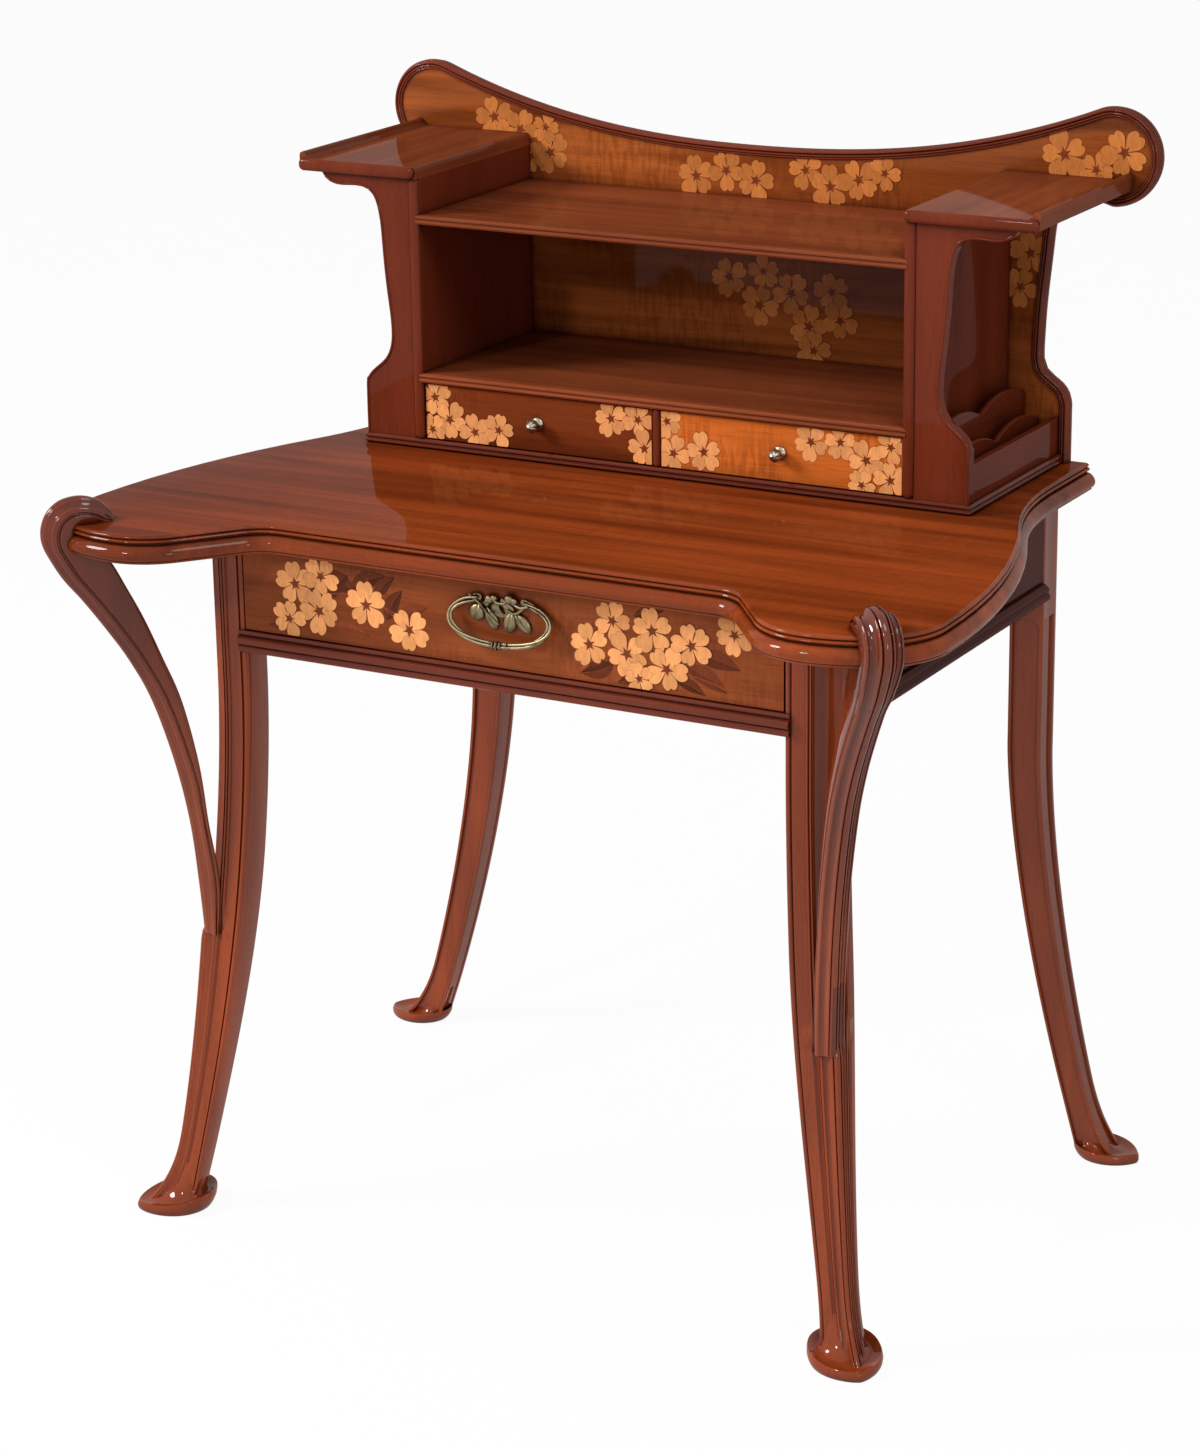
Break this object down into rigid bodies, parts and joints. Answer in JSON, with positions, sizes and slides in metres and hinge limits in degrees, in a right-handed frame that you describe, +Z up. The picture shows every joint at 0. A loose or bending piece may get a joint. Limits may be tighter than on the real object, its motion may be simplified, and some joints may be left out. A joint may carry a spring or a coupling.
{
  "type": "writing desk",
  "caption": "Ladies' writing desk with swept legs, branch brackets over the corners of a shaped top, a wide drawer, and an upper case with shelves, letter racks and two small drawers.",
  "frame": {"origin": "floor, below the middle of the object's box", "axes": "+X to the desk's right as seen from the front, +Y to the back, +Z up"},
  "size_m": [0.9482, 0.6655, 1.096],
  "materials": {
    "top_veneer": "figured mahogany veneer, french polished",
    "leg_mahogany": "solid mahogany, french polished",
    "frame_mahogany": "mahogany, french polished",
    "upper_mahogany": "mahogany, french polished",
    "shelf_mahogany": "mahogany, french polished",
    "panel_veneer": "figured veneer with floral inlay, polished",
    "drawer_veneer": "figured veneer with floral inlay, polished",
    "inner_wood": "plain inner timber, waxed",
    "gilt_bronze": "patinated gilt bronze",
    "knob_bronze": "worn bronze",
    "lock_brass": "plain brass",
    "bolt_steel": "plain steel"
  },
  "bodies": {
    "desk": {"back_apron": "frame_mahogany", "back_leg_left": "leg_mahogany", "back_leg_right": "leg_mahogany", "back_panel": "panel_veneer", "branch_left": "leg_mahogany", "branch_right": "leg_mahogany", "drawer_divider": "shelf_mahogany", "front_board_left": "upper_mahogany", "front_board_right": "upper_mahogany", "front_leg_left": "leg_mahogany", "front_leg_right": "leg_mahogany", "front_rail": "frame_mahogany", "glue_blocks": "inner_wood", "kicker_left": "inner_wood", "kicker_right": "inner_wood", "lower_shelf": "shelf_mahogany", "platform_left": "upper_mahogany", "platform_right": "upper_mahogany", "plinth": "upper_mahogany", "rack_divider_inner_left": "upper_mahogany", "rack_divider_inner_right": "upper_mahogany", "rack_divider_outer_left": "upper_mahogany", "rack_divider_outer_right": "upper_mahogany", "rack_side_left": "upper_mahogany", "rack_side_right": "upper_mahogany", "runner_left": "inner_wood", "runner_right": "inner_wood", "side_apron_left": "frame_mahogany", "side_apron_right": "frame_mahogany", "side_moulding_left": "frame_mahogany", "side_moulding_right": "frame_mahogany", "side_panel_left": "upper_mahogany", "side_panel_right": "upper_mahogany", "top_board": "top_veneer", "top_rail": "inner_wood", "upper_shelf": "shelf_mahogany"},
    "main_drawer": {"drawer_back": "inner_wood", "drawer_bottom": "inner_wood", "drawer_front": "drawer_veneer", "drawer_side_left": "inner_wood", "drawer_side_right": "inner_wood", "lock_case": "lock_brass", "pull_loop": "gilt_bronze", "pull_spray": "gilt_bronze", "pull_studs": "lock_brass"},
    "lock_bolt": {"lock_bolt": "bolt_steel"},
    "left_drawer": {"small_drawer_back_left": "inner_wood", "small_drawer_bottom_left": "inner_wood", "small_drawer_front_left": "drawer_veneer", "small_drawer_knob_left": "knob_bronze", "small_drawer_side_inner_left": "inner_wood", "small_drawer_side_outer_left": "inner_wood"},
    "right_drawer": {"small_drawer_back_right": "inner_wood", "small_drawer_bottom_right": "inner_wood", "small_drawer_front_right": "drawer_veneer", "small_drawer_knob_right": "knob_bronze", "small_drawer_side_inner_right": "inner_wood", "small_drawer_side_outer_right": "inner_wood"}
  },
  "joints": [
    {"name": "main_drawer_slide", "type": "slide", "parent": "desk", "child": "main_drawer", "axis": [0, -1, 0], "range_m": [0, 0.32]},
    {"name": "left_drawer_slide", "type": "slide", "parent": "desk", "child": "left_drawer", "axis": [0, -1, 0], "range_m": [0, 0.15]},
    {"name": "right_drawer_slide", "type": "slide", "parent": "desk", "child": "right_drawer", "axis": [0, -1, 0], "range_m": [0, 0.15]},
    {"name": "lock_bolt_slide", "type": "slide", "parent": "main_drawer", "child": "lock_bolt", "axis": [0, 0, 1], "range_m": [0, 0.007]}
  ]
}
